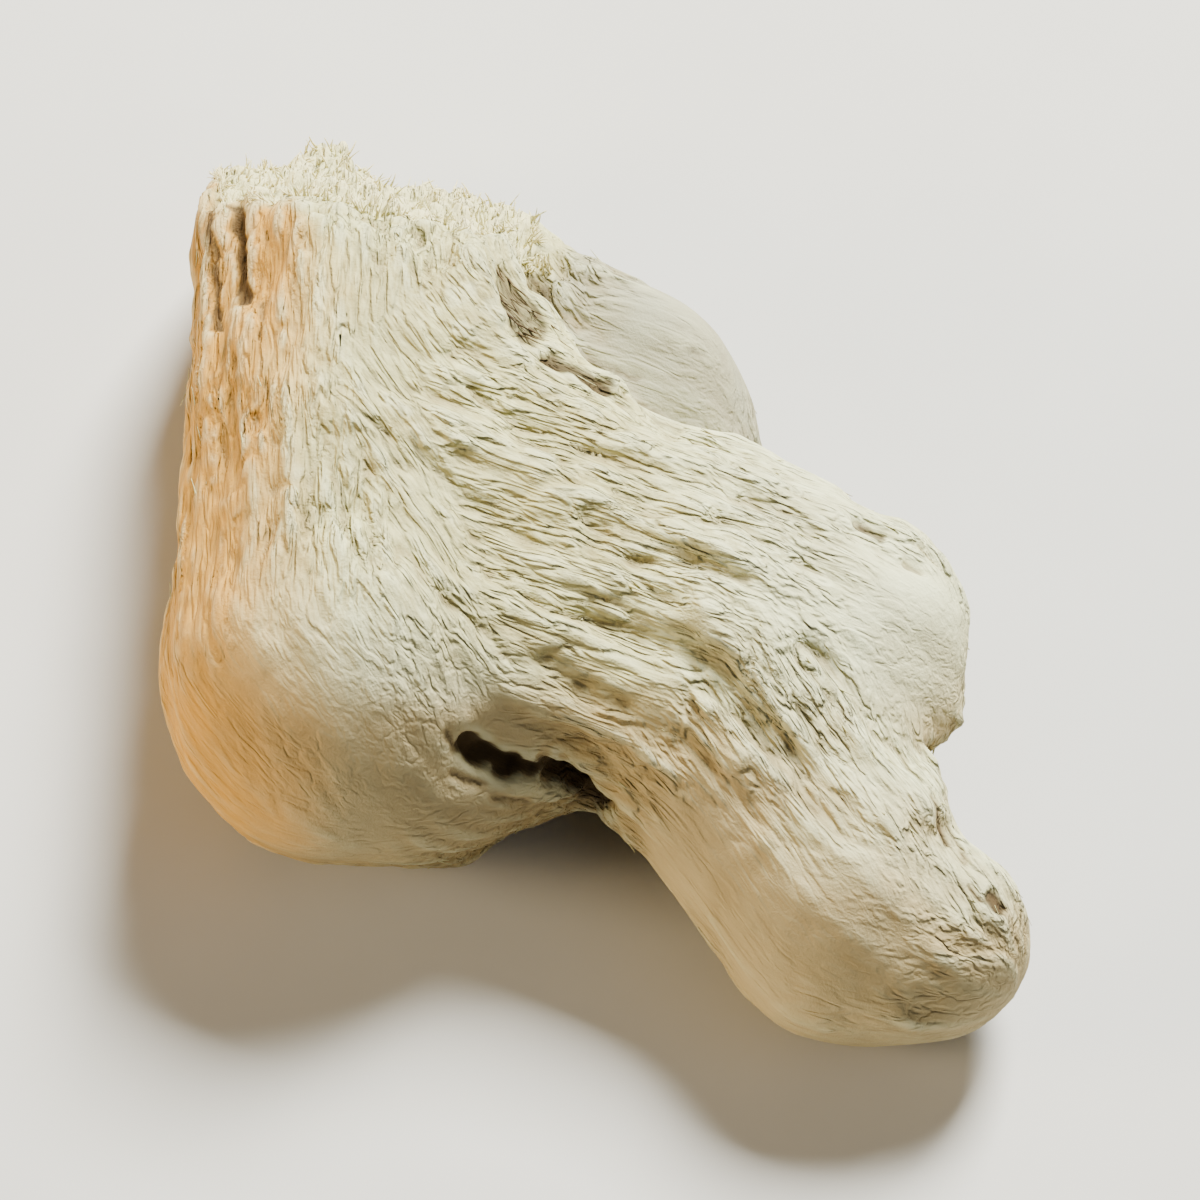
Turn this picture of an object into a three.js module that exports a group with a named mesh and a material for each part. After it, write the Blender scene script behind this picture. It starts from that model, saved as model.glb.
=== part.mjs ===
// One piece of dried ginger root: a forked rhizome that grew as a single body.
// A thick trunk is broken off at its top end and swells to a round bulb at the other end. A broad
// body leaves the trunk's side, ends in a blunt knob and turns down into a finger, and a short lobe
// stands behind the body. The rhizome is drawn as a viewer sees its broad face, with x to the right,
// y up and z towards the viewer. It is then tipped and turned so that it lies on a flat surface,
// on three worn spots, with its length along X. All sizes are in millimetres.
import * as THREE from "three";
import { ImprovedNoise } from "three/addons/math/ImprovedNoise.js";

// Driving dimensions.
const trunkRadius = 11;
const bulbRadius = 11.5;
const bodyRadius = 12;
const knobRadius = 8.5;
const fingerRadius = 8.3;
const backLobeRadius = 7.6;
const skinStep = 1.36; // spacing of the facets over the skin
const ribHeight = 0.55;
const ribLength = 20;
const ribWidth = 4.3;
const lumpHeight = 0.5;
const tearHeight = 1.5;
const tipBack = 30; // degrees about X, from facing the viewer to lying down
const turn = 53; // degrees about Z, to bring the length along X
const floorDepth = 11.75; // from the drawing's origin down to the surface that the rhizome lies on

// The grown lobes, each a tapering round stretch between two centres. Flat is the share of its
// width that a lobe keeps from front to back, and blend is how softly it grows out of the others.
const lobes = [
  // The trunk, with the bulb at its lower end.
  { from: [-13.9, 33, -20.6], to: [-14.2, 12, -7.1], radii: [trunkRadius, trunkRadius], flat: 0.82, blend: 1 },
  { from: [-14.2, 12, -7.1], to: [-15.2, -4.3, 1.5], radii: [trunkRadius, bulbRadius], flat: 0.86, blend: 3 },
  // A long ridge down the trunk's front, where it turns away to the left.
  { from: [-17.3, 32, -15], to: [-16.4, -1, 5.8], radii: [4.6, 5], flat: 1, blend: 5 },
  // The bulb's far cheek, tucked under the body.
  { from: [-13.4, -4.8, 1.5], to: [-9, -6.4, 0], radii: [10, 9.2], flat: 0.92, blend: 4 },
  // The body, with a belly along its lower edge.
  { from: [-8.4, 6.7, -3], to: [16.2, -1.8, 0.6], radii: [bodyRadius, knobRadius], flat: 0.76, blend: 6 },
  { from: [-1.5, -1, 1.5], to: [6, -3, 2.5], radii: [9.6, 8.8], flat: 0.78, blend: 5 },
  // The finger, with its blunt tip and the corner beside it.
  { from: [9.4, -7, 2.4], to: [17.2, -18.4, 5.4], radii: [9.4, fingerRadius], flat: 0.82, blend: 4 },
  { from: [17.2, -18.4, 5.4], to: [20.7, -20.2, 6.2], radii: [fingerRadius, 7], flat: 0.9, blend: 3 },
  { from: [23.1, -19.8, 6.8], to: [23.5, -21.8, 7], radii: [3.7, 3.6], flat: 1, blend: 2.5 },
  // The short lobe behind the body.
  { from: [-5, 14.6, -13.6], to: [4.2, 10.9, -11.8], radii: [7.6, backLobeRadius], flat: 0.88, blend: 2 },
  // Two buds on the hidden side.
  { from: [8, 3, -7], to: [9.5, 4, -10.5], radii: [4, 2.8], flat: 1, blend: 2.5 },
  { from: [-18, 9, -13], to: [-21, 9.5, -14.5], radii: [4, 2.6], flat: 1, blend: 2.5 },
];

// Hollows in the skin, drawn as the lobes are.
const hollows = [
  // The pit under the body, beside the bulb.
  { from: [-5.6, -9.2, 8.4], to: [-4, -10, 8], radii: [1.9, 1.3], flat: 1, blend: 1.5 },
  // The notch between the knob and the finger.
  { from: [27.9, -10.6, 1], to: [28.4, -10.6, 6], radii: [5.8, 5.8], flat: 1, blend: 1 },
];

// Furrows and dents, each along a line in the plane of the drawing, on the front or on the back.
const furrows = [
  // The scar on the trunk's side, and the crease between the body and the lobe behind it.
  { from: [-4.6, 23], to: [-4, 19.6], width: 1.9, depth: 1.1, onFront: 1 },
  { from: [-2.4, 15.8], to: [5.6, 11.4], width: 1.5, depth: 0.6, onFront: 1 },
  // Two grooves that run down from the break.
  { from: [-22, 27], to: [-21.4, 20], width: 1.4, depth: 0.9, onFront: 1 },
  { from: [-10.4, 27], to: [-9.8, 20], width: 1.4, depth: 0.6, onFront: 1 },
  // Furrows that fan out over the body and down the finger.
  { from: [-7.4, 15.5], to: [4, 6.5], width: 1.4, depth: 0.6, onFront: 1 },
  { from: [-9, 8], to: [3.5, -1.5], width: 1.4, depth: 0.6, onFront: 1 },
  { from: [3, 2], to: [14.6, -9], width: 1.4, depth: 0.6, onFront: 1 },
  // A mark on the knob, and the dent beside the finger's tip.
  { from: [17.6, 5], to: [20.4, 3], width: 1.4, depth: 0.6, onFront: 1 },
  { from: [22, -14.2], to: [23, -17.4], width: 1.6, depth: 0.9, onFront: 1 },
  // On the back, the round scar of a snapped finger, and furrows along the trunk and the body.
  { from: [-5.4, 2.6], to: [-4.6, 2.2], width: 4, depth: 1.2, onFront: 0 },
  { from: [-12, 22], to: [-12.6, 8], width: 1.5, depth: 0.7, onFront: 0 },
  { from: [4, -3.4], to: [14, -12], width: 1.5, depth: 0.7, onFront: 0 },
];

const noise = new ImprovedNoise();
const vector = (numbers) => new THREE.Vector3(...numbers);

// The distance from a point to a lobe's skin, with the point's place in the lobe: along its
// length, across it and from front to back.
function besideLobe({ from, to, radii, flat }, point) {
  const start = vector(from);
  const axis = vector(to).sub(start);
  const length = axis.length();
  const share = THREE.MathUtils.clamp(point.clone().sub(start).dot(axis) / length ** 2, 0, 1);
  const beside = point.clone().sub(start.addScaledVector(axis, share));
  const width = Math.hypot(beside.x, beside.y, beside.z / flat);
  const distance = width - THREE.MathUtils.lerp(...radii, share);
  const across = (beside.x * axis.y - beside.y * axis.x) / length;
  return { distance, place: [share * length, across, beside.z] };
}

// The lower of two distances, with the corner between them rounded over a width.
function softLower(a, b, width) {
  const near = Math.max(width - Math.abs(a - b), 0) / width;
  return Math.min(a, b) - (near * near * width) / 4;
}

// Ribs with shallow furrows between them, which follow a lobe's length.
function ribAt([along, across, depth]) {
  const furrow = noise.noise(along / ribLength, across / ribWidth, depth / ribWidth);
  return ribHeight * (0.5 - 2.6 * Math.abs(furrow));
}

// How far the furrows sink the skin at a point.
function furrowAt(point) {
  const front = THREE.MathUtils.smoothstep(point.z + point.y / 2, -4, -1);
  const place = new THREE.Vector2(point.x, point.y);
  let sunk = 0;
  for (const { from, to, width, depth, onFront } of furrows) {
    const start = new THREE.Vector2(...from);
    const line = new THREE.Vector2(...to).sub(start);
    const share = THREE.MathUtils.clamp(place.clone().sub(start).dot(line) / line.lengthSq(), 0, 1);
    const away = place.distanceTo(start.addScaledVector(line, share)) / width;
    const shown = onFront ? front : 1 - front;
    sunk = Math.max(sunk, shown * depth * Math.exp(-(away ** 2)));
  }
  return sunk;
}

// The whole skin as a field: below zero inside, above zero outside.
function skinField(point) {
  const found = lobes.map((lobe) => besideLobe(lobe, point));
  let skin = found[0].distance;
  for (let i = 1; i < lobes.length; i++) skin = softLower(skin, found[i].distance, lobes[i].blend);
  if (Math.abs(skin) > 4) return skin;

  const nearest = Math.min(...found.map(({ distance }) => distance));
  let ribs = 0;
  let weights = 0;
  for (const { distance, place } of found) {
    const weight = Math.exp((nearest - distance) / 1.5);
    ribs += weight * ribAt(place);
    weights += weight;
  }
  const lump = lumpHeight * noise.noise(point.x / 8, point.y / 8, point.z / 8);
  skin += furrowAt(point) - ribs / weights - lump;
  for (const hollow of hollows) {
    skin = -softLower(-skin, besideLobe(hollow, point).distance, hollow.blend);
  }
  return skin;
}

// The break at the trunk's top end: an uneven torn face, with a tongue of fibres that stands up
// from its far edge. The field is below zero on the side that is left.
const breakPoint = vector([-14, 26.2, -18]);
const breakFacing = new THREE.Vector3(0.21, 1, 0.2).normalize();
const tongue = { x: -17.2, z: -23, height: 2.8, width: 3.6 };
function breakField(point) {
  const above = point.clone().sub(breakPoint).dot(breakFacing);
  const { x, z } = point;
  const tear = tearHeight * noise.noise(x / 4.6, 5.5, z / 3.8);
  const fromTongue = Math.hypot(x - tongue.x, z - tongue.z) / tongue.width;
  return above - tear - tongue.height * Math.exp(-(fromTongue ** 2));
}

// The height over the surface that the rhizome lies on, which wears a flat where it touches.
const up = vector([0, 0, 1]).applyAxisAngle(vector([1, 0, 0]), -THREE.MathUtils.degToRad(tipBack));
const heightOf = (point) => point.dot(up) + floorDepth;

// The finished rhizome as a field.
function rhizomeField(point) {
  return Math.max(skinField(point), breakField(point), -heightOf(point));
}

// Moves a point onto a field's zero level, by no more than reach.
function drawOnto(field, point, reach) {
  const start = point.clone();
  const nudge = 0.05;
  for (let pass = 0; pass < 3; pass++) {
    const value = field(point);
    const slope = new THREE.Vector3(
      field(point.clone().setX(point.x + nudge)) - value,
      field(point.clone().setY(point.y + nudge)) - value,
      field(point.clone().setZ(point.z + nudge)) - value,
    ).divideScalar(nudge);
    point.addScaledVector(slope, -value / Math.max(slope.lengthSq(), 0.2));
  }
  point.sub(start).clampLength(0, reach).add(start);
}

// A closed skin of triangles over a field's zero level, with one vertex in each cell of a grid
// that the level crosses. The vertices are then spread evenly and drawn onto the level.
function skinOf(field, box, step) {
  const size = box.getSize(new THREE.Vector3());
  const [nx, ny, nz] = size.toArray().map((length) => Math.ceil(length / step) + 1);
  const at = (i, j, k) => i + nx * (j + ny * k);
  const place = (i, j, k) => new THREE.Vector3(i, j, k).multiplyScalar(step).add(box.min);
  const eachCell = (first, visit) => {
    for (let k = first; k < nz - 1; k++)
      for (let j = first; j < ny - 1; j++) for (let i = first; i < nx - 1; i++) visit(i, j, k);
  };
  const values = new Float32Array(nx * ny * nz).fill(1);
  eachCell(0, (i, j, k) => (values[at(i, j, k)] = field(place(i, j, k))));

  // Where the corners of a cell's face are inside and outside by turns, the skin would touch
  // itself, so the corner that is nearest to the level changes sides.
  const strides = [1, nx, nx * ny];
  for (let pass = 0; pass < 5; pass++) {
    eachCell(0, (i, j, k) =>
      strides.forEach((stride, axis) => {
        const here = at(i, j, k);
        const beside = here + strides[(axis + 1) % 3];
        const face = [here, here + stride, beside + stride, beside];
        const [a, b, c, d] = face.map((corner) => values[corner] < 0);
        if (a !== c || b !== d || a === b) return;
        face.sort((p, q) => Math.abs(values[p]) - Math.abs(values[q]));
        values[face[0]] *= -1;
      }),
    );
  }

  const corners = [...Array(8).keys()].map((c) => [c & 1, (c >> 1) & 1, (c >> 2) & 1]);
  const apart = (a, b) => a.reduce((sum, value, axis) => sum + Math.abs(value - b[axis]), 0);
  const edges = corners.flatMap((a, n) =>
    corners.slice(n + 1).flatMap((b) => (apart(a, b) === 1 ? [[a, b]] : [])),
  );
  const points = [];
  const pointOf = new Map();
  eachCell(0, (i, j, k) => {
    const crossings = edges.flatMap(([a, b]) => {
      const atA = [i + a[0], j + a[1], k + a[2]];
      const atB = [i + b[0], j + b[1], k + b[2]];
      const [valueA, valueB] = [values[at(...atA)], values[at(...atB)]];
      if (valueA < 0 === valueB < 0) return [];
      return [place(...atA).lerp(place(...atB), valueA / (valueA - valueB))];
    });
    if (!crossings.length) return;
    pointOf.set(at(i, j, k), points.length);
    const sum = crossings.reduce((total, crossing) => total.add(crossing), new THREE.Vector3());
    points.push(sum.divideScalar(crossings.length));
  });

  const quads = [];
  eachCell(1, (i, j, k) =>
    strides.forEach((stride, axis) => {
      const here = at(i, j, k);
      const inside = values[here] < 0;
      if (inside === values[here + stride] < 0) return;
      const b = strides[(axis + 1) % 3];
      const c = strides[(axis + 2) % 3];
      const quad = [here, here - b, here - b - c, here - c].map((cell) => pointOf.get(cell));
      quads.push(inside ? quad : quad.reverse());
    }),
  );
  for (let pass = 0; pass < 3; pass++) {
    spread(points, quads);
    for (const point of points) drawOnto(field, point, step);
  }
  const triangles = quads.flatMap(([p, q, r, s]) =>
    points[p].distanceTo(points[r]) < points[q].distanceTo(points[s])
      ? [p, q, r, p, r, s]
      : [p, q, s, q, r, s],
  );
  return new THREE.BufferGeometry().setFromPoints(points).setIndex(triangles);
}

// Moves each point halfway to the middle of the quads' corners beside it.
function spread(points, quads) {
  const sums = points.map(() => new THREE.Vector3());
  const counts = points.map(() => 0);
  for (const quad of quads)
    quad.forEach((p, n) => {
      sums[p].add(points[quad[(n + 1) % 4]]).add(points[quad[(n + 3) % 4]]);
      counts[p] += 2;
    });
  points.forEach((point, p) => point.lerp(sums[p].divideScalar(counts[p]), 0.5));
}

const drawnBox = new THREE.Box3(vector([-32, -32, -36]), vector([33, 38, 22]));
const lying = skinOf(rhizomeField, drawnBox, skinStep);
lying.rotateX(THREE.MathUtils.degToRad(tipBack)).rotateZ(THREE.MathUtils.degToRad(turn));

// What comes within wear of the surface is flat on it.
const wear = 0.12;
const corners = lying.attributes.position;
for (let i = 0; i < corners.count; i++) {
  if (corners.getZ(i) < wear - floorDepth) corners.setZ(i, -floorDepth);
}
lying.computeVertexNormals();

// The origin is at the middle of the rhizome's extent, on the surface that it lies on.
lying.computeBoundingBox();
const middle = lying.boundingBox.getCenter(new THREE.Vector3());
const rhizome = new THREE.Mesh(
  lying,
  new THREE.MeshStandardMaterial({ color: 0xd9cfae, roughness: 0.92, metalness: 0 }),
);
rhizome.name = "rhizome";
rhizome.position.set(-middle.x, -middle.y, floorDepth);

const gingerRoot = new THREE.Group();
gingerRoot.add(rhizome);
export default gingerRoot;
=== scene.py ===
"""Dresses the dried ginger root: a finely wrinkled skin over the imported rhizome, torn fibres on its
broken end, shreds of dry skin along its lobes, and the floor, lights and camera that show it."""
import itertools
import math

import bpy
import numpy as np
from bpy.props import FloatProperty, FloatVectorProperty, IntProperty, PointerProperty
from mathutils import Matrix, Vector


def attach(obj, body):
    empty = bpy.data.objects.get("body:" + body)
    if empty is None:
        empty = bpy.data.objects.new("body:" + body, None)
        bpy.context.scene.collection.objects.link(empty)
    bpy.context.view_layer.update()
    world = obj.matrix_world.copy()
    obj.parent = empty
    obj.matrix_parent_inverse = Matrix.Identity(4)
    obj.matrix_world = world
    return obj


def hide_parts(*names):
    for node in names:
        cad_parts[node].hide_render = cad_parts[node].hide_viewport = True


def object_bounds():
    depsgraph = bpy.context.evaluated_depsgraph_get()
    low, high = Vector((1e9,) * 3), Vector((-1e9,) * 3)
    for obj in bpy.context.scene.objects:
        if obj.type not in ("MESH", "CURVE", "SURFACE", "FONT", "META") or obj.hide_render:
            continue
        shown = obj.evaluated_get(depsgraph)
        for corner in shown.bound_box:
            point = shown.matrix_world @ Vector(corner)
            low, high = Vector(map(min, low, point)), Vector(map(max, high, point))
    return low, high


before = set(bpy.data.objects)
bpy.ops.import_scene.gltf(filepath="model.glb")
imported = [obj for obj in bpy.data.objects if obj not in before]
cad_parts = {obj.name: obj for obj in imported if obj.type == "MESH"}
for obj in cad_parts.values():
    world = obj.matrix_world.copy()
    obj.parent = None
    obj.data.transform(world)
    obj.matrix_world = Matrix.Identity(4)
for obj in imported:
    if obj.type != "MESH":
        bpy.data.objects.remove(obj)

bl_info = {
    "name": "Dried Ginger Root",
    "version": (1, 0, 0),
    "blender": (4, 5, 0),
    "location": "3D View > Sidebar > Ginger",
    "description": "Builds a dried ginger rhizome with its wrinkled skin and torn end",
    "category": "Add Mesh",
}

CAD_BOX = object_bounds()
NODE = "rhizome"
BODY = "root"
MM = 0.001

# The rhizome is drawn in millimetres as a viewer sees its broad face, with x to the right, y up and
# z towards the viewer. It is then tipped back and turned, and its drawn origin comes to this place.
TIP_BACK = math.radians(30)
TURN = math.radians(53)
DRAWN_ORIGIN = np.array((3.6964, 3.1343, 11.75))
TO_ROW = Matrix.Rotation(TURN, 3, "Z") @ Matrix.Rotation(TIP_BACK, 3, "X")
ROW_AXES = np.array(TO_ROW)

# The grown lobes: both ends, both radii and the share of its width that a lobe keeps front to back.
LOBES = (
    ((-13.9, 33, -20.6), (-14.2, 12, -7.1), (11, 11), 0.82),
    ((-14.2, 12, -7.1), (-15.2, -4.3, 1.5), (11, 11.5), 0.86),
    ((-17.3, 32, -15), (-16.4, -1, 5.8), (4.6, 5), 1),
    ((-13.4, -4.8, 1.5), (-9, -6.4, 0), (10, 9.2), 0.92),
    ((-8.4, 6.7, -3), (16.2, -1.8, 0.6), (12, 8.5), 0.76),
    ((-1.5, -1, 1.5), (6, -3, 2.5), (9.6, 8.8), 0.78),
    ((9.4, -7, 2.4), (17.2, -18.4, 5.4), (9.4, 8.3), 0.82),
    ((17.2, -18.4, 5.4), (20.7, -20.2, 6.2), (8.3, 7), 0.9),
    ((-5, 14.6, -13.6), (4.2, 10.9, -11.8), (7.6, 7.6), 0.88),
)
BREAK_POINT = np.array((-14, 26.2, -18))
BREAK_FACING = np.array((0.21, 1, 0.2)) / np.linalg.norm((0.21, 1, 0.2))

# The directions that fine fibres run in, down the trunk, over the shoulder and along the body.
GRAINS = {
    "trunk": Vector((0, 0.85, -0.52)),
    "slant": Vector((0.56, -0.78, 0.28)),
    "body": Vector((0.93, -0.33, 0.14)),
}

# Smooth patches on the lobe behind, the bulb, the knob, the finger and below: middle and radius.
SMOOTH_PATCHES = (
    ((6.5, 16, -7), 7.5),
    ((-17, -8, 6), 12),
    ((-8.5, -9, 6), 8),
    ((20.5, -2, 6), 6.5),
    ((9, -14.5, 6), 6.5),
    ((15, -20, 8), 9),
    ((18, -27, 6), 6),
    ((23.5, -23.5, 7), 6),
    ((-5, -6, -10), 8),
)

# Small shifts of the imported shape: the knob's lip, the torn end's corner and its far peak. Each has
# its middle, its radius and how far it goes.
SHIFTS = (
    ((23.5, -6.5, 3), 4.5, (-0.2, -1.9, 0)),
    ((-25.5, 24, -14), 7, (-0.9, 0, 0)),
    ((-17.3, 29.5, -24), 4, (0, 1.1, 0)),
)

# Dark marks, mostly painted shade in pits, clefts, creases and grooves, as the viewer sees them: both
# ends, half their width, depth and darkness.
DARK_MARKS = (
    # Painted shade in the pit under the body, and in the cleft from it to the crotch.
    ((-7.2, -8.7), (-4.7, -9.9), 0.7, 1.3, 1),
    ((-4.7, -10), (-1.9, -10.2), 0.4, 1.1, 0.85),
    ((-1.9, -10.2), (0.4, -12.4), 0.85, 2.2, 0.95),
    ((-8.6, -7.8), (-8, -8.6), 0.3, 0.25, 0.55),
    ((-8.2, -10.4), (-6.4, -11.2), 0.3, 0.25, 0.5),
    ((-5.6, -11.8), (-3.6, -12.2), 0.3, 0.25, 0.5),
    # Painted shade in the crease between the body and the lobe behind.
    ((-2.3, 16.2), (1.5, 14.4), 0.5, 0.6, 0.8),
    ((1.5, 14.4), (6, 11.6), 0.4, 0.4, 0.5),
    ((0, 16), (3.4, 14.6), 0.25, 0.2, 0.5),
    # Painted shade in the grooves down the flank from the torn end.
    ((-22.1, 25.5), (-21.5, 19.6), 0.45, 0.5, 0.85),
    ((-23.5, 25.5), (-23.4, 18), 0.3, 0.3, 0.7),
    ((-18.1, 24.4), (-18.5, 20.9), 0.22, 0.2, 0.55),
    ((-20.5, 19.7), (-20.6, 17.2), 0.22, 0.2, 0.55),
    # Painted shade in small pits on the knob and at the finger's corner.
    ((17.6, 5.6), (18.8, 4.8), 0.4, 0.35, 0.6),
    ((20.5, 3.2), (21.4, 2.6), 0.3, 0.3, 0.5),
    ((22.2, -11.8), (23, -14.6), 0.3, 0.4, 0.65),
    ((23.6, -13), (24.2, -15.6), 0.3, 0.3, 0.55),
    ((26, -18.2), (26.5, -18.8), 0.5, 0.6, 0.85),
    ((24.4, -17.4), (25.2, -18.4), 0.25, 0.3, 0.6),
    # Faint spots on the finger and on the lobe behind.
    ((14.2, -19.8), (14.6, -20.1), 0.6, 0.05, 0.32),
    ((6.8, 16.5), (7.3, 16.2), 0.25, 0.1, 0.45),
)

# The dark scar, as the viewer sees it: both ends and half its width.
SCAR = ((-3.7, 21), (-3.2, 18.8), 2)

# How far the camera is from the root, in millimetres.
VIEW_DISTANCE = 400

# How many cells the random hills have before they repeat.
LATTICE_CELLS = 256

# The Mix node's sockets are picked by number, because its names repeat for each kind of value.
MIX_SHARE = 0
MIX_NUMBERS = (2, 3)
MIX_NUMBER_RESULT = 0
MIX_COLORS = (6, 7)
MIX_COLOR_RESULT = 2


class RhizomeLooks(bpy.types.PropertyGroup):
    """The sizes and colours that a user would change."""

    facet: FloatProperty(
        name="Facet", description="Spacing of the fine skin's faces", default=0.00032, unit="LENGTH"
    )
    wrinkle: FloatProperty(
        name="Wrinkle", description="Depth of the long furrows", default=0.00034, unit="LENGTH"
    )
    crinkle: FloatProperty(
        name="Crinkle", description="Height of the short ridges", default=0.00012, unit="LENGTH"
    )
    crack: FloatProperty(
        name="Crack", description="Depth of the thin folds", default=0.00035, unit="LENGTH"
    )
    fibre: FloatProperty(
        name="Fibre", description="Height of the finest fibres", default=0.00014, unit="LENGTH"
    )
    torn_fibres: IntProperty(
        name="Torn fibres", description="Fibres that stand on the broken end", default=1400, min=0
    )
    shreds: IntProperty(
        name="Shreds", description="Shreds of dry skin along the lobes", default=420, min=0
    )
    scar_fibres: IntProperty(
        name="Scar fibres", description="Dark fibres on the scar", default=110, min=0
    )
    cream: FloatVectorProperty(
        name="Cream", description="The dry skin", default=(0.57, 0.545, 0.28), subtype="COLOR"
    )
    # The bloom on the smooth lobes, and also the painted highlight on the crests.
    chalk_and_highlight: FloatVectorProperty(
        name="Chalk", description="The smooth lobes' bloom", default=(0.66, 0.67, 0.43), subtype="COLOR"
    )
    # Painted light: the orange tan that stands for warm light falling on the flank from the left.
    tan: FloatVectorProperty(
        name="Tan", description="The warm flank", default=(0.53, 0.265, 0.035), subtype="COLOR"
    )
    # Painted shade: the brownish colour laid over the undersides and the lower parts of the root.
    under_shade: FloatVectorProperty(
        name="Buff", description="The bare skin below", default=(0.36, 0.25, 0.11), subtype="COLOR"
    )
    # Painted shade: the greyer, darker colour of the lobe behind the body.
    behind_shade: FloatVectorProperty(
        name="Ash", description="The grey lobe behind", default=(0.3, 0.285, 0.205), subtype="COLOR"
    )
    # Worn skin, and also the painted shade in the skin's hollows.
    wear_and_shade: FloatVectorProperty(
        name="Drab", description="The worn skin", default=(0.25, 0.185, 0.085), subtype="COLOR"
    )
    # Also the painted shade in the pits, the cleft, the crease and the grooves.
    brown: FloatVectorProperty(
        name="Brown", description="The cracks and pits", default=(0.045, 0.024, 0.008), subtype="COLOR"
    )
    pith: FloatVectorProperty(
        name="Pith", description="The torn fibres", default=(0.78, 0.7, 0.4), subtype="COLOR"
    )


def select_only(*objects):
    """Deselects all, then selects these objects and makes the first one active."""
    bpy.ops.object.select_all(action="DESELECT")
    for thing in objects:
        thing.select_set(True)
    bpy.context.view_layer.objects.active = objects[0]


def apply_modifier(thing, kind, **settings):
    """Adds a modifier of a kind with these settings and applies it."""
    modifier = thing.modifiers.new(kind.title(), kind)
    for name, value in settings.items():
        setattr(modifier, name, value)
    select_only(thing)
    bpy.ops.object.modifier_apply(modifier=modifier.name)


def to_drawn(points):
    """Row-frame metres as drawn millimetres."""
    return (points / MM - DRAWN_ORIGIN) @ ROW_AXES


def to_row(points):
    """Drawn millimetres as row-frame metres."""
    return (points @ ROW_AXES.T + DRAWN_ORIGIN) * MM


def unit(vectors):
    """Vectors at length 1."""
    return vectors / np.maximum(np.linalg.norm(vectors, axis=-1, keepdims=True), 1e-9)


def ramp(low, high, values):
    """A smooth step from 0 at low to 1 at high."""
    share = np.clip((values - low) / (high - low), 0, 1)
    return share * share * (3 - 2 * share)


def read_points(mesh, kind="co"):
    """A mesh's vertex places or normals as rows of numbers."""
    numbers = np.empty(len(mesh.vertices) * 3)
    mesh.vertices.foreach_get(kind, numbers)
    return numbers.reshape(-1, 3)


def write_points(mesh, points):
    """Moves a mesh's vertices to these places."""
    mesh.vertices.foreach_set("co", points.ravel())
    mesh.update()


def away_from_line(points, start, end):
    """The distance of points from a straight stretch."""
    start = np.array(start)
    line = np.array(end) - start
    share = np.clip((points - start) @ line / (line @ line), 0, 1)
    return np.linalg.norm(points - start - share[:, None] * line, axis=1)


class Lattice:
    """Smooth random hills and valleys in space, the same on every run."""

    def __init__(self, seed):
        draw = np.random.default_rng(seed)
        self.order = draw.permutation(LATTICE_CELLS)
        self.slopes = unit(draw.normal(size=(LATTICE_CELLS, 3)))

    def at(self, points):
        """The height at points that are given in cells."""
        cell = np.floor(points).astype(np.int64)
        inside = points - cell
        ease = inside**3 * (inside * (inside * 6 - 15) + 10)
        height = np.zeros(len(points))
        for corner in itertools.product((0, 1), repeat=3):
            x, y, z = ((cell + corner) % LATTICE_CELLS).T
            entry = self.order[(self.order[x] + y) % LATTICE_CELLS]
            slope = self.slopes[self.order[(entry + z) % LATTICE_CELLS]]
            share = np.where(np.array(corner) == 1, ease, 1 - ease).prod(axis=1)
            height += share * ((inside - corner) * slope).sum(axis=1)
        return height


def lobes_at(points):
    """For each lobe, how far outside it each drawn point is, and its slope there; and its axis."""
    distances, outwards, axes = [], [], []
    for start, end, (near_radius, far_radius), flat in LOBES:
        start = np.array(start)
        axis = np.array(end) - start
        share = np.clip((points - start) @ axis / (axis @ axis), 0, 1)
        squash = np.array((1, 1, flat))
        beside = (points - start - share[:, None] * axis) / squash
        width = np.linalg.norm(beside, axis=1)
        distances.append(width - near_radius - (far_radius - near_radius) * share)
        outwards.append(beside / squash / np.maximum(width, 1e-9)[:, None])
        axes.append(unit(axis))
    return np.array(distances), np.array(outwards), np.array(axes)


def grain_at(points):
    """The direction that the fibres run in at drawn points, along the lobes and over the skin."""
    blend_width = 1.5
    least_run = 0.3
    distances, outwards, axes = lobes_at(points)
    weights = np.exp((distances.min(axis=0) - distances) / blend_width)
    outward = unit(np.einsum("ln,lnk->nk", weights, outwards))
    along = weights.T @ axes
    along -= (along * outward).sum(axis=1, keepdims=True) * outward
    return along / np.maximum(np.linalg.norm(along, axis=1, keepdims=True), least_run)


def streaks(points, width, length, seed):
    """Random heights drawn out along the fibres, with a spread of 1."""
    lattice = Lattice(seed)
    total = lattice.at(points / width)
    steps = 6
    for way in (1, -1):
        place = points.copy()
        for _ in range(steps):
            place += way * length / (2 * steps) * grain_at(place)
            total += lattice.at(place / width)
    return (total - total.mean()) / total.std()


class Neighbours:
    """What is beside each vertex of a mesh, to even out places or values over its surface."""

    def __init__(self, mesh):
        self.count = len(mesh.vertices)
        pairs = np.empty(len(mesh.edges) * 2, dtype=np.int64)
        mesh.edges.foreach_get("vertices", pairs)
        first, second = pairs.reshape(-1, 2).T
        self.here = np.concatenate((first, second))
        self.there = np.concatenate((second, first))
        self.edges = np.bincount(self.here, minlength=self.count)

    def mean(self, values):
        """The mean of the values beside each vertex."""
        total = np.bincount(self.here, values[self.there], self.count)
        return total / np.maximum(self.edges, 1)

    def evened(self, values, rounds, shares=(0.5,)):
        """Values drawn by each share in turn towards their neighbours' mean, some rounds over."""
        columns = values.reshape(len(values), -1).T.copy()
        for share in shares * rounds:
            for column in columns:
                column += share * (self.mean(column) - column)
        return columns.T.reshape(values.shape)


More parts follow.
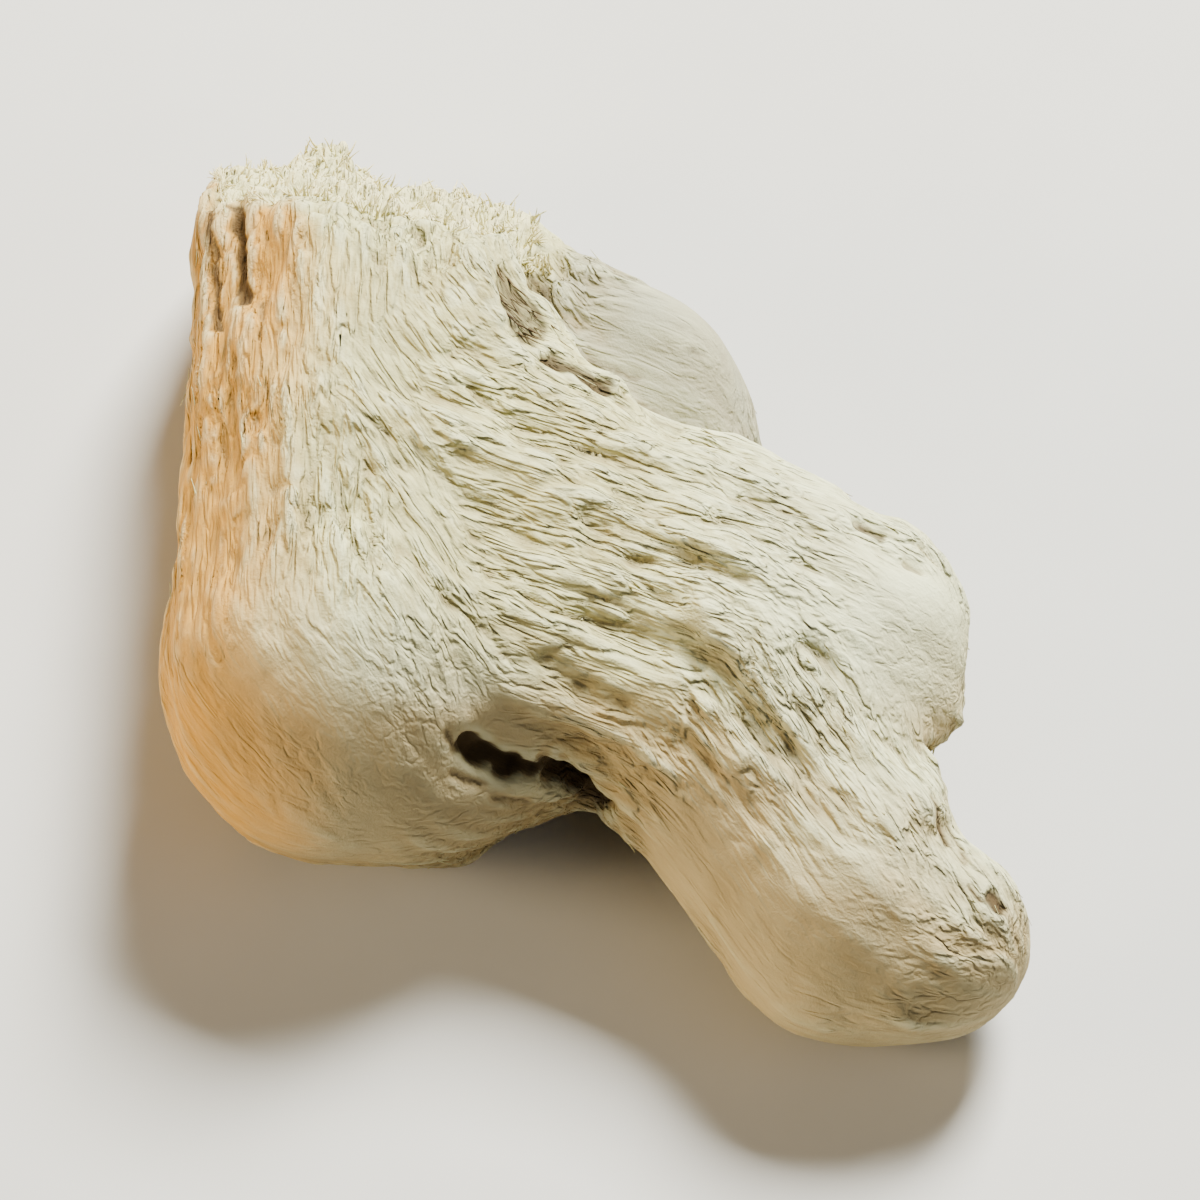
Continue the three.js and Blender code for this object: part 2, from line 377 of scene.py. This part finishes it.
def keep_values(mesh, **fields):
    """Stores one number for each vertex under each name, for the material to read."""
    for name, values in fields.items():
        layer = mesh.attributes.new(name, "FLOAT", "POINT")
        layer.data.foreach_set("value", np.clip(values, 0, 1).astype(np.float32))


def torn_share(drawn):
    """How far each drawn point is on the torn face: 0 on the skin and 1 on the break.

    The torn face lies deeper inside the lobes than their skin, and not far below the break.
    """
    inside = -lobes_at(drawn)[0].min(axis=0)
    above = (drawn - BREAK_POINT) @ BREAK_FACING
    return ramp(0.5, 1.2, inside) * ramp(-3, -2, above)


def raised_rim(drawn):
    """How far the torn end's front rim stands up along the break, more towards its right."""
    above = (drawn - BREAK_POINT) @ BREAK_FACING
    rise = 0.4 + 1.7 * ramp(-24, -17, drawn[:, 0]) + 1.0 * ramp(-14, -7, drawn[:, 0])
    return rise * ramp(-24, -11, drawn[:, 2]) * ramp(-7, -0.5, above)


def as_seen(drawn):
    """Where the viewer sees drawn points in the drawing's plane."""
    return drawn[:, :2] * (VIEW_DISTANCE / (VIEW_DISTANCE - drawn[:, 2:]))


def hold_in_box(mesh):
    """Keeps a mesh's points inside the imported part's box."""
    low, high = (np.array(corner) for corner in CAD_BOX)
    write_points(mesh, np.clip(read_points(mesh), low, high))


def evened_skin(drawn, torn, on_floor, beside):
    """Drawn points without the solid's facets, with the raised rim and the small shifts.

    Also returns how far each point is on a smooth patch. The rim of the torn face and the flats
    that the root lies on are evened less.
    """
    rim = beside.evened(4 * torn * (1 - torn), 2)
    held = np.maximum(np.clip(rim, 0, 1), on_floor)[:, None]
    smooth = beside.evened(drawn, 30, (0.5, -0.5))
    drawn = held * beside.evened(drawn, 3) + (1 - held) * beside.evened(smooth, 6)
    drawn += raised_rim(drawn)[:, None] * BREAK_FACING
    patches = np.zeros(len(drawn))
    for middle, radius in SMOOTH_PATCHES:
        away = np.linalg.norm(drawn - middle, axis=1) / radius
        patches = np.maximum(patches, 1 - ramp(0.55, 1.2, away))
    calm = np.where(on_floor, 0, patches)[:, None]
    drawn += calm * (beside.evened(drawn, 60) - drawn)
    for middle, radius, shift in SHIFTS:
        near = 1 - ramp(0, 1, np.linalg.norm(drawn - middle, axis=1) / radius)
        drawn += near[:, None] * shift
    return drawn, patches


def marks_seen(drawn, normals):
    """How far each drawn point is on the scar, how dark its marks are and how deep they go."""
    wander = np.stack([Lattice(seed).at(drawn / 1.1) for seed in (43, 44)], axis=1)
    seen = as_seen(drawn)
    facing = ramp(0.05, 0.3, normals[:, 2])
    scar = facing * (1 - ramp(0.6, 1.1, away_from_line(seen + 0.5 * wander, *SCAR[:2]) / SCAR[2]))
    dark = 0.58 * scar
    sunk = 0.5 * scar
    for start, end, width, depth, darkness in DARK_MARKS:
        away = away_from_line(seen + width * wander, start, end) / width
        dark = np.maximum(dark, facing * darkness * np.exp(-((away / 1.3) ** 2)))
        sunk = np.maximum(sunk, facing * depth * np.exp(-(away**2)))
    return scar, dark, sunk


def shape_skin(mesh, looks):
    """Evens out the facets, then sinks furrows, pits and torn fibres into the skin."""
    beside = Neighbours(mesh)
    points = read_points(mesh)
    drawn = to_drawn(points)
    flat_height = 0.06 * MM
    on_floor = points[:, 2] < flat_height
    torn = beside.evened(torn_share(drawn), 3)
    drawn, patches = evened_skin(drawn, torn, on_floor, beside)
    write_points(mesh, to_row(drawn))
    normals = read_points(mesh, "normal") @ ROW_AXES

    # Heights drawn out along the grain: width and length in millimetres, and a seed.
    patchy = Lattice(41)
    rough = (1 - 0.8 * patches) * (0.8 + 0.8 * patchy.at(drawn / 6))
    roll = streaks(drawn, 2.6, 12, 11)
    furrow = np.exp(-((streaks(drawn, 2.1, 9, 12) / 0.45) ** 2))
    furrow *= ramp(-0.3, 0.1, patchy.at(drawn / 2.7 + 9))
    ridges = streaks(drawn, 1.25, 3.2, 13)
    scar, dark, sunk = marks_seen(drawn, normals)
    ripple = 0.2 * roll - looks.wrinkle / MM * furrow + looks.crinkle / MM * ridges
    height = (rough * ripple - sunk) * (1 - torn)

    # The torn face rises in clumps along the break.
    bristle = Lattice(51)
    clumps = np.abs(bristle.at(drawn / 2.2)) + 0.7 * np.abs(bristle.at(drawn / 1.1 + 5))
    lifted = torn * (2.6 * clumps - 0.9)
    moved = drawn + height[:, None] * normals + lifted[:, None] * BREAK_FACING
    points = to_row(moved)
    points[on_floor, 2] = 0  # the flats stay on the floor
    write_points(mesh, points)
    hold_in_box(mesh)

    distances = lobes_at(drawn)[0]
    grain = grain_at(drawn)
    parting = 24
    trunk, slant, body = (
        np.abs(grain @ np.array(axis.normalized())) ** parting for axis in GRAINS.values()
    )
    # How hollow or raised the skin is, for the painted shade in its hollows and the painted highlight
    # on its crests.
    cavity = ((beside.evened(moved, 12) - moved) * normals).sum(axis=1)
    keep_values(
        mesh,
        furrow=rough * furrow * (1 - torn),
        dark=dark * (1 - torn),
        scar=scar * (1 - torn),
        hollow=0.5 + cavity / 0.5,
        rough=rough,
        # The bloom on the smooth patches, and a paler colour towards the body's right.
        bloom=np.maximum(patches, 0.8 * ramp(0, 14, drawn[:, 0])),
        # Painted shade between the torn tufts: the lower the clump, the darker its colour.
        tuft=1.2 * clumps,
        # Painted shade on the lobe behind the body.
        back=0.85 * ramp(1, -1, distances[-1] - distances[:-1].min(axis=0)),
        # Painted shade: stronger where the skin faces down and where it lies lower in the view.
        under=ramp(-0.25, 0.6, 0.55 * ramp(-2, -12, as_seen(drawn)[:, 1]) - normals[:, 1]),
        torn=torn,
        # Painted warm light on the left flank, strongest where it faces left.
        flank=ramp(-0.1, 0.75, -normals[:, 0]) * ramp(-7, -15, drawn[:, 0]),
        grain_slant=slant / (trunk + slant),
        grain_body=body / (trunk + slant + body),
    )


def add_node(tree, kind, place, **settings):
    """Adds a material node of a kind and gives its sockets and settings their values."""
    node = tree.nodes.new(kind)
    node.location = place
    for name, value in settings.items():
        if name in node.inputs:
            node.inputs[name].default_value = value
        else:
            setattr(node, name, value)
    return node


def feed(tree, socket, value):
    """Links a value that comes from another node to a socket, or sets a constant on it."""
    if isinstance(value, bpy.types.NodeSocket):
        tree.links.new(value, socket)
    else:
        socket.default_value = value


def color_mix(tree, share, below, above, place, blend="MIX"):
    """Adds a node that lays one colour over another by a share, and returns its result."""
    mix = add_node(tree, "ShaderNodeMix", place, data_type="RGBA", blend_type=blend)
    for socket, value in zip((MIX_SHARE, *MIX_COLORS), (share, below, above)):
        feed(tree, mix.inputs[socket], value)
    return mix.outputs[MIX_COLOR_RESULT]


def times(tree, first, second, place):
    """Adds a node that multiplies two values and returns its result, kept within 0 to 1."""
    node = add_node(tree, "ShaderNodeMath", place, operation="MULTIPLY", use_clamp=True)
    for socket, value in zip(node.inputs, (first, second)):
        feed(tree, socket, value)
    return node.outputs[0]


def stored(tree, name, place):
    """Adds a node that reads one of the skin's stored values."""
    return add_node(tree, "ShaderNodeAttribute", place, attribute_name=name).outputs["Fac"]


def joined(tree, node, **inputs):
    """Links sockets to a node's named inputs and returns the node's first result."""
    for name, value in inputs.items():
        tree.links.new(value, node.inputs[name])
    return node.outputs[0]


def spread(tree, value, low, high, place):
    """Adds a node that spreads a range of values over 0 to 1, softly at both ends."""
    node = add_node(tree, "ShaderNodeMapRange", place, interpolation_type="SMOOTHSTEP")
    node.inputs["From Min"].default_value = low
    node.inputs["From Max"].default_value = high
    return joined(tree, node, Value=value)


def spots(tree, coordinates, size, low, high, place):
    """Adds round spots of a size in metres, as a value from 0 to 1."""
    noise = add_node(tree, "ShaderNodeTexNoise", place, Scale=1 / size, Detail=3, Roughness=0.6)
    return spread(tree, joined(tree, noise, Vector=coordinates), low, high, (place[0] + 180, place[1]))


def grain_pattern(tree, coordinates, width, length, place):
    """Adds a noise drawn out along the fibres, from one pattern for each of their directions."""
    patterns = []
    for row, axis in enumerate(GRAINS.values()):
        left, top = place[0], place[1] - 120 * row
        mapping = add_node(tree, "ShaderNodeMapping", (left, top), vector_type="TEXTURE")
        mapping.inputs["Rotation"].default_value = (TO_ROW @ axis).to_track_quat("Z", "Y").to_euler()
        mapping.inputs["Scale"].default_value = (width, width, length)
        noise = add_node(tree, "ShaderNodeTexNoise", (left + 180, top), Scale=1, Detail=2)
        noise.inputs["Distortion"].default_value = 0.35
        patterns.append(joined(tree, noise, Vector=joined(tree, mapping, Vector=coordinates)))
    result = patterns[0]
    for pattern, name in zip(patterns[1:], ("grain_slant", "grain_body")):
        mix = add_node(tree, "ShaderNodeMix", (place[0] + 360, place[1]), data_type="FLOAT")
        share = stored(tree, name, (place[0] + 180, place[1] - 400))
        for socket, value in zip((MIX_SHARE, *MIX_NUMBERS), (share, result, pattern)):
            feed(tree, mix.inputs[socket], value)
        result = mix.outputs[MIX_NUMBER_RESULT]
    return result


def off_middle(tree, pattern, place):
    """Adds how far a pattern is from its middle value, which is 0 along winding lines."""
    away = add_node(tree, "ShaderNodeMath", place, operation="SUBTRACT")
    away.inputs[1].default_value = 0.5
    tree.links.new(pattern, away.inputs[0])
    size = add_node(tree, "ShaderNodeMath", (place[0] + 160, place[1]), operation="ABSOLUTE")
    tree.links.new(away.outputs[0], size.inputs[0])
    return size.outputs[0]


def bumped(tree, height, depth, normal, place):
    """Adds a bump of a depth in metres on top of another bump's normal, if there is one."""
    node = add_node(tree, "ShaderNodeBump", place, Strength=1, Distance=depth)
    tree.links.new(height, node.inputs["Height"])
    if normal:
        tree.links.new(normal, node.inputs["Normal"])
    return node.outputs[0]


def new_material(name, roughness):
    """A material with a matt dry shader, and its tree, shader and object coordinates."""
    material = bpy.data.materials.new(name)
    material.use_nodes = True
    tree = material.node_tree
    shader = tree.nodes["Principled BSDF"]
    shader.inputs["Roughness"].default_value = roughness
    shader.inputs["Specular IOR Level"].default_value = 0.2
    coordinates = add_node(tree, "ShaderNodeTexCoord", (-2200, 0)).outputs["Object"]
    return material, tree, shader, coordinates


def skin_material(looks):
    """Dry ginger skin: cream and chalk, tan for painted warm light on the flank, painted shade and
    highlights, brown in the cracks, pale where torn.
    """
    material, tree, shader, coordinates = new_material("dried_ginger_skin", 0.88)
    cream, chalk_and_highlight, tan, under_shade, behind_shade, wear_and_shade, brown, pith = (
        (*getattr(looks, name), 1)
        for name in ("cream", "chalk_and_highlight", "tan", "under_shade", "behind_shade", "wear_and_shade", "brown", "pith")
    )
    rough = stored(tree, "rough", (-1200, 900))
    blotch = spots(tree, coordinates, 6 * MM, 0.4, 0.66, (-1900, 700))
    speckle = spots(tree, coordinates, 0.8 * MM, 0.45, 0.75, (-1900, 500))
    speckle = times(tree, speckle, rough, (-1500, 500))
    strands = grain_pattern(tree, coordinates, 0.3 * MM, 2.2 * MM, (-1900, 100))
    weave = grain_pattern(tree, coordinates, 0.9 * MM, 4.8 * MM, (-1900, -500))
    dashes = grain_pattern(tree, coordinates, 1.2 * MM, 3 * MM, (-1900, -1100))
    valley = off_middle(tree, weave, (-1300, -500))
    ridge = spread(tree, valley, 0, 0.14, (-900, -400))
    core = spread(tree, valley, 0.028, 0, (-900, -600))
    broken = spread(tree, dashes, 0.47, 0.62, (-900, -800))
    core = times(tree, core, broken, (-700, -600))
    lines = times(tree, core, rough, (-500, -500))

    # Chalk on the smooth patches, and paler towards the body's right.
    base = color_mix(tree, stored(tree, "bloom", (-1600, 850)), cream, chalk_and_highlight, (-1400, 900))
    # Painted shade on the undersides and the lower parts.
    shaded = times(tree, stored(tree, "under", (-1400, 700)), 0.82, (-1200, 700))
    base = color_mix(tree, shaded, base, under_shade, (-1000, 900))
    # Painted shade on the lobe behind the body.
    base = color_mix(tree, stored(tree, "back", (-1200, 600)), base, behind_shade, (-800, 900))
    # Painted warm light in tan on the left-facing flank.
    painted_warm_light = times(tree, stored(tree, "flank", (-1000, 550)), 0.95, (-800, 550))
    base = color_mix(tree, painted_warm_light, base, tan, (-600, 700))
    worn = times(tree, blotch, 0.25, (-600, 550))
    base = color_mix(tree, worn, base, wear_and_shade, (-400, 700))
    streak = spread(tree, strands, 0.35, 0.65, (-700, 200))
    tone = color_mix(tree, streak, (0.74, 0.7, 0.6, 1), (1.1, 1.1, 1.08, 1), (-400, 300))
    tint = times(tree, rough, 0.9, (-400, 450))
    base = color_mix(tree, tint, base, tone, (-200, 700), "MULTIPLY")
    # Painted shade in the hollows.
    cavity = stored(tree, "hollow", (-400, 50))
    hollow = spread(tree, cavity, 0.52, 0.85, (-200, 200))
    base = color_mix(tree, times(tree, hollow, 0.5, (0, 300)), base, wear_and_shade, (0, 700))
    # Painted highlight on the crests.
    crest = spread(tree, cavity, 0.5, 0.2, (-200, 0))
    base = color_mix(tree, times(tree, crest, 0.4, (0, 100)), base, chalk_and_highlight, (200, 700))
    fleck = times(tree, speckle, 0.25, (200, 300))
    base = color_mix(tree, fleck, base, wear_and_shade, (400, 700))
    base = color_mix(tree, times(tree, lines, 0.48, (400, 100)), base, brown, (600, 700))
    # Painted shade between the torn tufts: the lower clumps take the darker cream.
    tuft = color_mix(tree, stored(tree, "tuft", (200, -300)), cream, pith, (600, 300))
    base = color_mix(tree, stored(tree, "torn", (600, -100)), base, tuft, (800, 700))
    # The scar's own dark colour, and painted shade in the pits, the cleft, the crease and the grooves.
    mark = add_node(tree, "ShaderNodeMath", (800, -100), operation="MULTIPLY_ADD")
    mark.inputs[1].default_value = 0.5
    tree.links.new(strands, mark.inputs[0])
    tree.links.new(stored(tree, "dark", (600, -250)), mark.inputs[2])
    marks_and_shade = spread(tree, mark.outputs[0], 0.55, 0.95, (1000, -100))
    base = color_mix(tree, times(tree, marks_and_shade, 0.9, (1000, 100)), base, brown, (1200, 700))
    tree.links.new(base, shader.inputs["Base Color"])

    grit = spots(tree, coordinates, 0.18 * MM, 0.25, 0.75, (-1900, -1700))
    folds = times(tree, ridge, rough, (-700, -400))
    fibres = times(tree, strands, rough, (-700, -200))
    relief = bumped(tree, folds, looks.crack, None, (800, -500))
    relief = bumped(tree, fibres, looks.fibre, relief, (1000, -500))
    relief = bumped(tree, speckle, 0.04 * MM, relief, (1200, -500))
    relief = bumped(tree, grit, 0.02 * MM, relief, (1400, -500))
    tree.links.new(relief, shader.inputs["Normal"])
    shader.location = (1600, 500)
    tree.nodes["Material Output"].location = (1900, 500)
    return material


def fibre_material(name, pale, dark):
    """Dry fibre: pale, with a little brown along it."""
    material, tree, shader, coordinates = new_material(name, 0.8)
    shade = spots(tree, coordinates, 1.1 * MM, 0.42, 0.72, (-1300, 200))
    color = color_mix(tree, shade, (*pale, 1), (*dark, 1), (-600, 300))
    tree.links.new(color, shader.inputs["Base Color"])
    thread = spots(tree, coordinates, 0.18 * MM, 0.3, 0.7, (-1300, -200))
    tree.links.new(bumped(tree, thread, 0.03 * MM, None, (-300, -200)), shader.inputs["Normal"])
    return material


def fibre_shape(name, sides, lean):
    """One upright fibre, 1 unit long and wide with its foot at the origin, that leans as it tapers."""
    bpy.ops.object.select_all(action="DESELECT")
    bpy.ops.mesh.primitive_circle_add(vertices=sides, radius=0.5, fill_type="NGON")
    fibre = bpy.context.object
    fibre.name = name
    bpy.ops.object.mode_set(mode="EDIT")
    bpy.ops.mesh.select_all(action="SELECT")
    stretches = 4
    taper = 0.75
    for stretch in range(1, stretches + 1):
        bpy.ops.mesh.extrude_region_move(
            TRANSFORM_OT_translate={"value": (lean * stretch / stretches**2, 0, 1 / stretches)}
        )
        bpy.ops.transform.resize(value=(taper, taper, 1))
    bpy.ops.mesh.select_all(action="SELECT")
    bpy.ops.mesh.normals_make_consistent(inside=False)
    bpy.ops.object.mode_set(mode="OBJECT")
    return fibre


def joined_copies(pattern, name, placings):
    """Copies of a pattern at these matrices, each with its own mesh, joined as one piece."""
    copies = []
    for placing in placings:
        copy = pattern.copy()
        copy.data = pattern.data.copy()
        copy.data.transform(placing)
        bpy.context.collection.objects.link(copy)
        copies.append(copy)
    bpy.data.objects.remove(pattern)
    select_only(*copies)
    bpy.ops.object.join()
    piece = copies[0]
    piece.name = name
    piece.data.name = name
    return piece


def placed(foot, direction, lift, length, width, thickness):
    """The matrix that sets a pattern on a foot along a direction, leaning towards lift."""
    along = Vector(direction).normalized()
    side = along.cross(Vector(lift)).normalized()
    out = side.cross(along)
    columns = (out * thickness, side * width, along * length, Vector(foot))
    return Matrix([(*(column[row] for column in columns),) for row in range(3)] + [(0, 0, 0, 1)])


def ride_as(piece, material):
    """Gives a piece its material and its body."""
    piece.data.materials.clear()
    piece.data.materials.append(material)
    piece.data.shade_smooth()
    hold_in_box(piece.data)
    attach(piece, BODY)


def stored_on(mesh, name):
    """One of the skin's stored values as numbers."""
    values = np.empty(len(mesh.vertices), dtype=np.float32)
    mesh.attributes[name].data.foreach_get("value", values)
    return values


def laid_along(mesh, chosen, lengths, widths, draw):
    """Matrices that lay fibres on these vertices along the grain, with their tips a little lifted."""
    feet = read_points(mesh)[chosen]
    normals = read_points(mesh, "normal")[chosen]
    grain = grain_at(to_drawn(feet)) @ ROW_AXES.T
    placings = []
    for foot, normal, along in zip(feet, normals, grain):
        direction = draw.choice((-1, 1)) * along + draw.normal(scale=0.14, size=3)
        width = draw.uniform(*widths) * MM
        length = draw.uniform(*lengths) * MM
        sunk_foot = foot - 0.3 * width * normal
        placings.append(placed(sunk_foot, direction, normal, length, width, 0.6 * width))
    return placings


class GINGER_OT_skin(bpy.types.Operator):
    """Builds the rhizome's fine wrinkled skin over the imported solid"""

    bl_idname = "ginger.skin"
    bl_label = "Wrinkled skin"

    def execute(self, context):
        looks = context.scene.ginger_looks
        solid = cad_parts[NODE]
        skin = solid.copy()
        skin.data = solid.data.copy()
        skin.name = "rhizome_skin"
        skin.data.name = "rhizome_skin"
        context.collection.objects.link(skin)
        skin.parent = None
        skin.matrix_world = Matrix.Identity(4)
        select_only(skin)
        bpy.ops.object.mode_set(mode="EDIT")
        bpy.ops.mesh.select_all(action="SELECT")
        same_place = 0.001 * MM
        bpy.ops.mesh.remove_doubles(threshold=same_place)
        bpy.ops.object.mode_set(mode="OBJECT")
        apply_modifier(skin, "REMESH", mode="VOXEL", voxel_size=looks.facet)
        if not skin.data.vertices:
            raise RuntimeError("the skin came out empty")
        shape_skin(skin.data, looks)
        ride_as(skin, skin_material(looks))
        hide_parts(NODE)
        return {"FINISHED"}


class GINGER_OT_torn_fibres(bpy.types.Operator):
    """Stands torn fibres in tufts on the rhizome's broken end"""

    bl_idname = "ginger.torn_fibres"
    bl_label = "Torn fibres"

    def execute(self, context):
        looks = context.scene.ginger_looks
        mesh = bpy.data.objects["rhizome_skin"].data
        torn = stored_on(mesh, "torn")
        feet = read_points(mesh)
        draw = np.random.default_rng(61)
        rim_from, face_from = 0.25, 0.8
        on_rim = np.flatnonzero((torn > rim_from) & (torn < face_from))
        on_face = np.flatnonzero(torn >= face_from)
        rim_share = 0.5
        from_rim = draw.choice(on_rim, int(looks.torn_fibres * rim_share))
        from_face = draw.choice(on_face, looks.torn_fibres - len(from_rim))
        chosen = np.concatenate((from_rim, from_face))
        places = to_drawn(feet[chosen])
        tuft = np.stack([Lattice(seed).at(places / 1.7) for seed in (62, 63, 64)], axis=1)
        leans = (BREAK_FACING + 2.6 * tuft + draw.normal(scale=0.2, size=tuft.shape)) @ ROW_AXES.T
        reach = 1 + 1.5 * Lattice(65).at(places / 2.1)
        placings = []
        for foot, lean, longer in zip(feet[chosen], leans, reach):
            length = draw.uniform(0.4, 1.0) * max(longer, 0.3) * MM
            width = draw.uniform(0.1, 0.26) * MM
            lift = Vector(draw.normal(size=3))
            placings.append(placed(foot, lean, lift, length, width, width))
        fibres = joined_copies(fibre_shape("torn_fibre", 5, 2), "torn_fibres", placings)
        ride_as(fibres, fibre_material("torn_fibre", looks.pith, looks.cream))
        return {"FINISHED"}


class GINGER_OT_shreds(bpy.types.Operator):
    """Lays shreds of dry skin along the lobes, and dark fibres on the scar"""

    bl_idname = "ginger.shreds"
    bl_label = "Shreds of skin"

    def execute(self, context):
        looks = context.scene.ginger_looks
        mesh = bpy.data.objects["rhizome_skin"].data
        off_floor = 1.5 * MM
        clear = (stored_on(mesh, "torn") < 0.1) & (read_points(mesh)[:, 2] > off_floor)
        draw = np.random.default_rng(71)
        rough = clear & (stored_on(mesh, "rough") > 0.6) & (stored_on(mesh, "furrow") < 0.3)
        chosen = draw.choice(np.flatnonzero(rough), looks.shreds)
        placings = laid_along(mesh, chosen, (0.5, 1.5), (0.12, 0.28), draw)
        shreds = joined_copies(fibre_shape("shred", 4, 1), "skin_shreds", placings)
        ride_as(shreds, fibre_material("shred", looks.cream, looks.wear_and_shade))
        scarred = clear & (stored_on(mesh, "scar") > 0.3)
        chosen = draw.choice(np.flatnonzero(scarred), looks.scar_fibres)
        placings = laid_along(mesh, chosen, (0.8, 1.9), (0.12, 0.26), draw)
        fibres = joined_copies(fibre_shape("scar_fibre", 4, 2), "scar_fibres", placings)
        ride_as(fibres, fibre_material("scar_fibre", looks.brown, looks.wear_and_shade))
        return {"FINISHED"}


class GINGER_OT_stage(bpy.types.Operator):
    """Sets the floor, the soft lights and the camera"""

    bl_idname = "ginger.stage"
    bl_label = "Stage"

    def execute(self, context):
        bpy.ops.object.select_all(action="DESELECT")
        bpy.ops.mesh.primitive_plane_add(size=4)
        floor = context.object
        floor.name = "floor"
        paint, tree, shader, coordinates = new_material("floor_paint", 0.75)
        faint = spots(tree, coordinates, 30 * MM, 0.2, 0.8, (-1300, 0))
        tree.links.new(
            color_mix(tree, faint, (0.56, 0.55, 0.53, 1), (0.6, 0.59, 0.57, 1), (-600, 0)),
            shader.inputs["Base Color"],
        )
        floor.data.materials.append(paint)

        # Each light: where it comes from as the viewer sees it, its distance and size in metres,
        # its power in watts and its colour.
        lights = {
            "key_light": ((0.3, 0.9, 0.3), 0.9, 0.3, 42, (1, 1, 0.92)),
            "left_light": ((-1, 0.05, 0.3), 0.8, 0.25, 9, (1, 0.79, 0.48)),
            "front_light": ((0.7, 0.1, 1), 1.2, 0.9, 1.6, (0.95, 1, 1)),
        }
        for name, (come_from, distance, size, power, color) in lights.items():
            direction = TO_ROW @ Vector(come_from).normalized()
            bpy.ops.object.light_add(type="AREA", location=direction * distance)
            light = context.object
            light.name = name
            light.rotation_euler = direction.to_track_quat("Z", "Y").to_euler()
            light.data.size = size
            light.data.energy = power
            light.data.color = color
        world = bpy.data.worlds.new("soft_room")
        context.scene.world = world
        world.use_nodes = True
        world.node_tree.nodes["Background"].inputs["Color"].default_value = (0.9, 0.93, 1, 1)
        world.node_tree.nodes["Background"].inputs["Strength"].default_value = 0.05

        distance = VIEW_DISTANCE * MM
        seen_width = 0.076
        aim = Vector(to_row(np.array((1.0, 0.7, 0.0))))
        toward_viewer = TO_ROW @ Vector((0, 0, 1))
        bpy.ops.object.camera_add(location=aim + distance * toward_viewer)
        camera = context.object
        camera.name = "camera"
        camera.rotation_euler = toward_viewer.to_track_quat("Z", "Y").to_euler()
        camera.data.lens = camera.data.sensor_width * distance / seen_width
        camera.data.clip_start = 0.01
        context.scene.camera = camera
        return {"FINISHED"}


class GINGER_PT_panel(bpy.types.Panel):
    """Lists the pieces and their sizes"""

    bl_label = "Dried ginger root"
    bl_idname = "GINGER_PT_panel"
    bl_space_type = "VIEW_3D"
    bl_region_type = "UI"
    bl_category = "Ginger"

    def draw(self, context):
        looks = context.scene.ginger_looks
        for name in looks.bl_rna.properties.keys():
            if name not in ("rna_type", "name"):
                self.layout.prop(looks, name)
        for operator in OPERATORS:
            self.layout.operator(operator.bl_idname)


OPERATORS = (GINGER_OT_skin, GINGER_OT_torn_fibres, GINGER_OT_shreds, GINGER_OT_stage)
CLASSES = (RhizomeLooks, *OPERATORS, GINGER_PT_panel)


def register():
    """Registers the classes and the scene's settings."""
    for kind in CLASSES:
        bpy.utils.register_class(kind)
    bpy.types.Scene.ginger_looks = PointerProperty(type=RhizomeLooks)


def unregister():
    """Takes the settings and the classes away."""
    del bpy.types.Scene.ginger_looks
    for kind in reversed(CLASSES):
        bpy.utils.unregister_class(kind)


def main():
    """Builds every piece and the stage."""
    register()
    bpy.ops.ginger.skin()
    bpy.ops.ginger.torn_fibres()
    bpy.ops.ginger.shreds()
    bpy.ops.ginger.stage()


if __name__ == "__main__":
    main()
